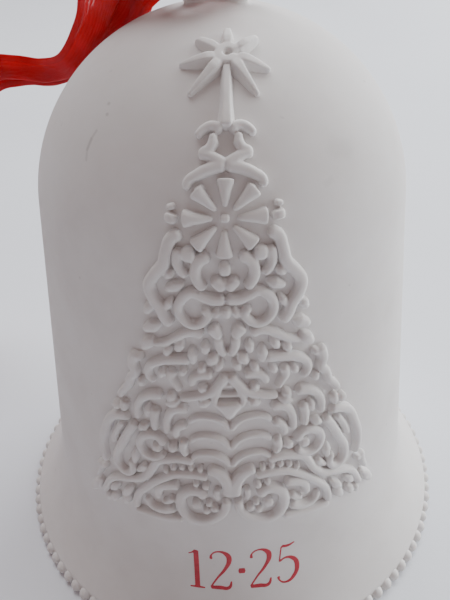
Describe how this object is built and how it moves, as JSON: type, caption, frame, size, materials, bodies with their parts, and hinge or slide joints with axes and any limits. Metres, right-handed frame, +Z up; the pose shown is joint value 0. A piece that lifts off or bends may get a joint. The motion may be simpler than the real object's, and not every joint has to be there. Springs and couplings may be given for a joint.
{
  "type": "christmas bell ornament",
  "caption": "Unglazed porcelain hanging bell with a raised scrollwork tree, a printed date, a beaded rim, a wire-hung ball clapper and a sheer ribbon loop.",
  "frame": {"origin": "centre of the rim's resting plane, on the bell's axis", "axes": "+Z up along the bell's axis, the tree and date face -Y, +X to the viewer's right"},
  "size_m": [0.1248, 0.0864, 0.0842],
  "materials": {
    "bisque": "matte unglazed porcelain",
    "bisque_ball": "matte unglazed porcelain",
    "red_print": "fired transfer print, satin",
    "cement": "rough set cement",
    "brass_wire": "drawn wire, slightly dulled",
    "organza": "sheer woven ribbon with a faint sheen"
  },
  "bodies": {
    "bell": {"bell_shell": "bisque", "rim_beading": "bisque", "hanging_loop": "bisque", "tree_star": "bisque", "tree_stem": "bisque", "tree_collar": "bisque", "tree_medallion": "bisque", "tree_heart_scrolls": "bisque", "tree_leaf_loops": "bisque", "tree_volutes": "bisque", "tree_buds": "bisque", "tree_leaf_sprays": "bisque", "tree_clasp": "bisque", "tree_waves": "bisque", "tree_side_leaves": "bisque", "tree_rosettes": "bisque", "tree_side_scrolls": "bisque", "tree_beaded_bands": "bisque", "tree_base_volutes": "bisque", "tree_base_ends": "bisque", "date_print": "red_print", "clapper_cement": "cement", "clapper_eye": "brass_wire", "ribbon_gather": "organza", "ribbon_back_strand": "organza", "ribbon_front_strand": "organza", "ribbon_knot": "organza", "ribbon_tail_1": "organza", "ribbon_tail_2": "organza"},
    "link": {"clapper_link": "brass_wire"},
    "clapper": {"clapper_wire": "brass_wire", "clapper_ball": "bisque_ball"}
  },
  "joints": [
    {"name": "link_swing", "type": "hinge", "parent": "bell", "child": "link", "pos_m": [0, 0, 0.06598], "axis": [0, 1, 0], "range_deg": [-14, 14]},
    {"name": "clapper_swing", "type": "hinge", "parent": "link", "child": "clapper", "pos_m": [0, 0, 0.04306], "axis": [1, 0, 0], "range_deg": [-24, 24]}
  ]
}
